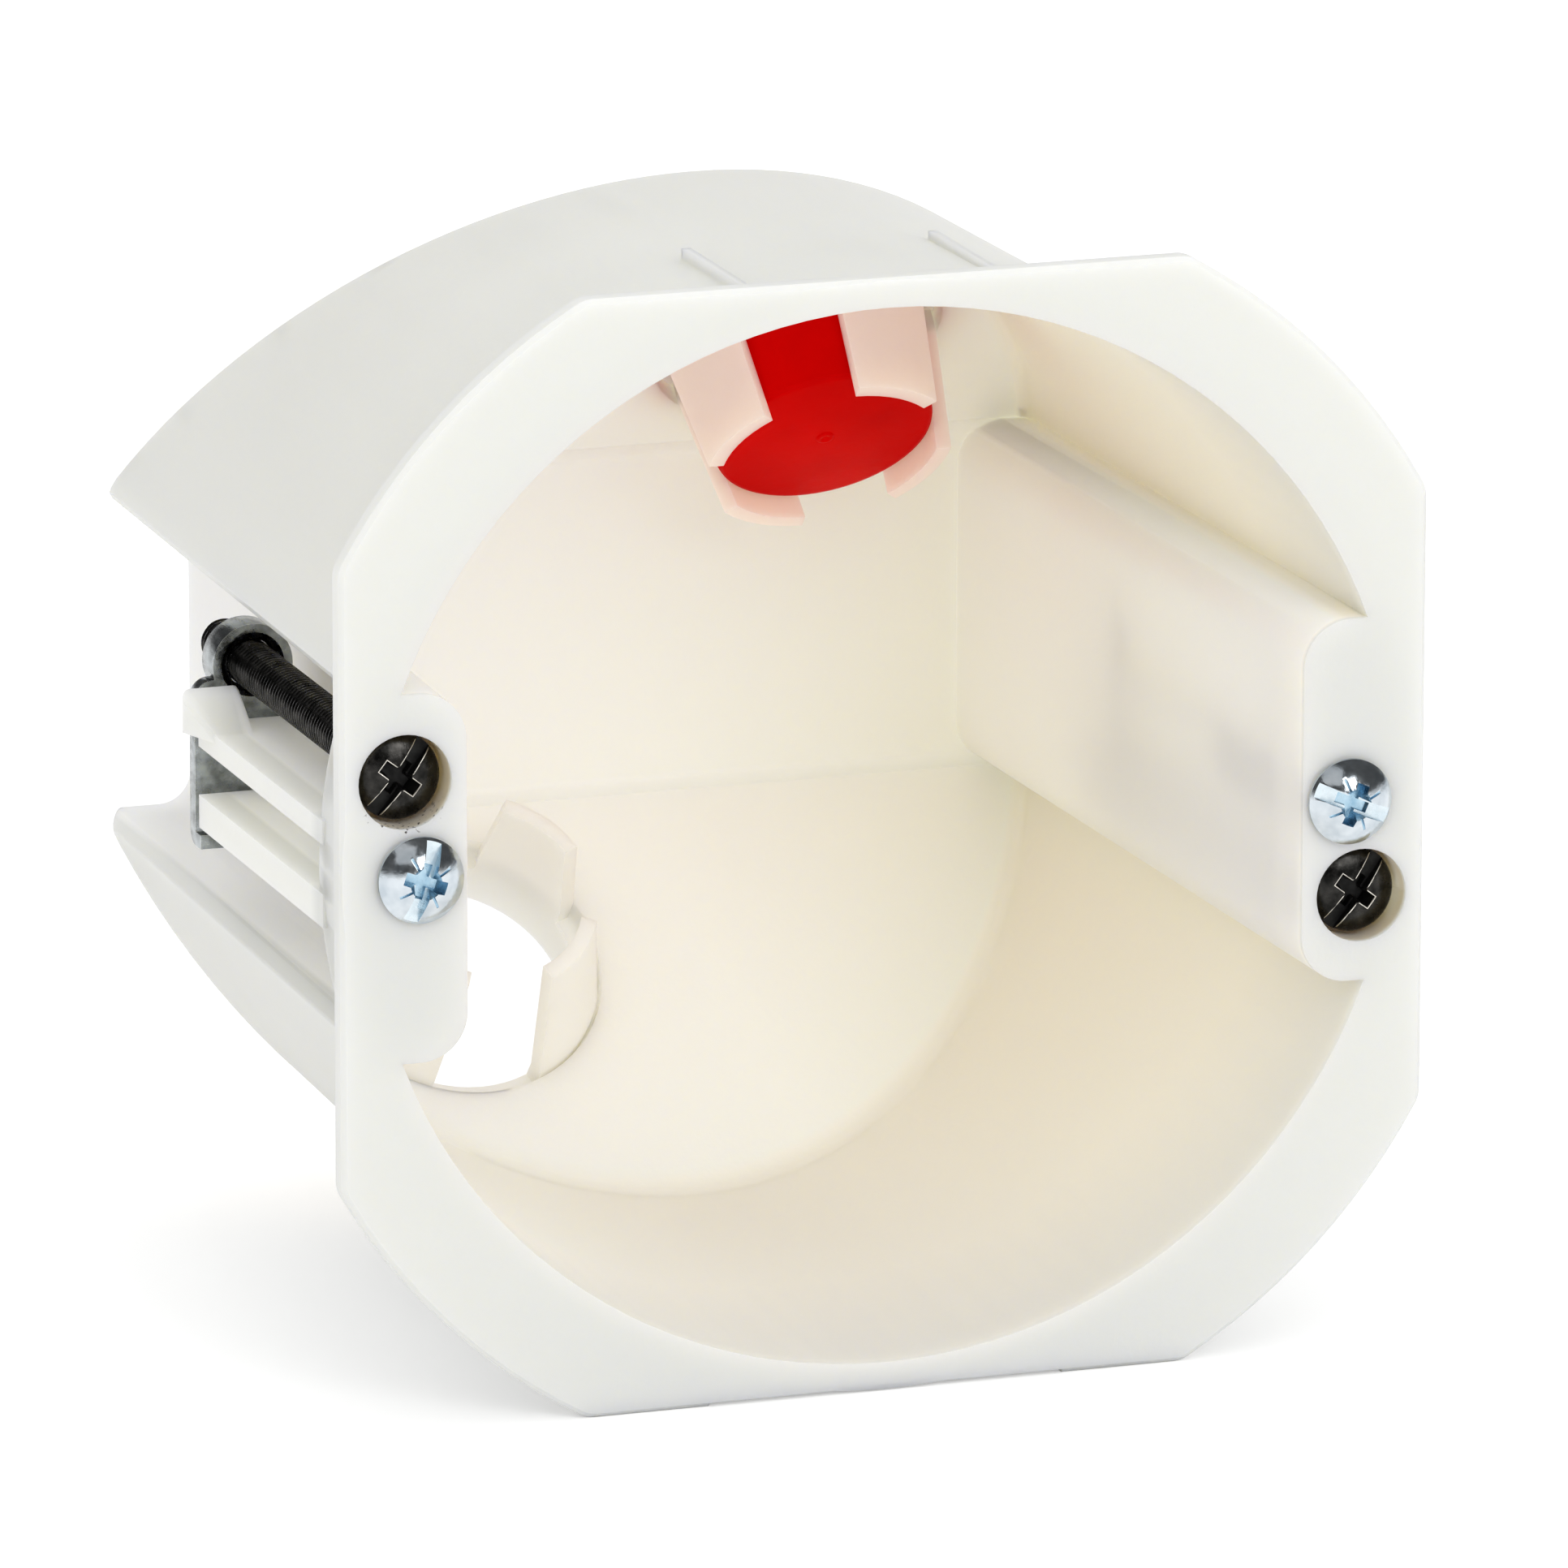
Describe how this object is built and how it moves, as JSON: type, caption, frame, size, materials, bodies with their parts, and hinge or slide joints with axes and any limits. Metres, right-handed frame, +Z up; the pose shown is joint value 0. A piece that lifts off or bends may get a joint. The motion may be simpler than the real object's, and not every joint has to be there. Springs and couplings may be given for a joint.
{
  "type": "electrical device box",
  "caption": "Round hollow-wall device box with a flat-sided flange, swing-out clamping claws in side channels, angled tube entries with gripping fingers and a blanking plug",
  "frame": {"origin": "middle of the flange's front face, on the box's axis, halfway between the two device screws", "axes": "+X to the right, +Y into the wall along the box's depth, +Z up; the opening faces -Y"},
  "size_m": [0.072, 0.0627, 0.07],
  "materials": {
    "white_plastic": "moulded, satin",
    "red_plastic": "moulded, satin",
    "black_steel": "blackened, oiled",
    "zinc_steel": "zinc plated, bright"
  },
  "bodies": {
    "box": {"box_body": "white_plastic"},
    "plug": {"blanking_plug": "red_plastic"},
    "left_claw": {"claw_left": "zinc_steel"},
    "right_claw": {"claw_right": "zinc_steel"},
    "left_claw_screw": {"claw_screw_left": "black_steel"},
    "right_claw_screw": {"claw_screw_right": "black_steel"},
    "left_device_screw": {"device_screw_left": "zinc_steel"},
    "right_device_screw": {"device_screw_right": "zinc_steel"}
  },
  "joints": [
    {"name": "plug_pull", "type": "slide", "parent": "box", "child": "plug", "axis": [0, 0.7071, 0.7071], "range_m": [0, 0.014]},
    {"name": "left_claw_swing", "type": "hinge", "parent": "box", "child": "left_claw", "pos_m": [-0.0309, 0.0313, 0.0061], "axis": [0, 1, 0], "range_deg": [0, 90]},
    {"name": "right_claw_swing", "type": "hinge", "parent": "box", "child": "right_claw", "pos_m": [0.0309, 0.0313, -0.0061], "axis": [0, 1, 0], "range_deg": [0, 90]},
    {"name": "left_claw_screw_turn", "type": "hinge", "parent": "box", "child": "left_claw_screw", "pos_m": [-0.0309, 0, 0.0061], "axis": [0, 1, 0], "continuous": true},
    {"name": "right_claw_screw_turn", "type": "hinge", "parent": "box", "child": "right_claw_screw", "pos_m": [0.0309, 0, -0.0061], "axis": [0, 1, 0], "continuous": true},
    {"name": "left_device_screw_turn", "type": "hinge", "parent": "box", "child": "left_device_screw", "pos_m": [-0.03, 0, 0], "axis": [0, 1, 0], "continuous": true},
    {"name": "right_device_screw_turn", "type": "hinge", "parent": "box", "child": "right_device_screw", "pos_m": [0.03, 0, 0], "axis": [0, 1, 0], "continuous": true}
  ]
}
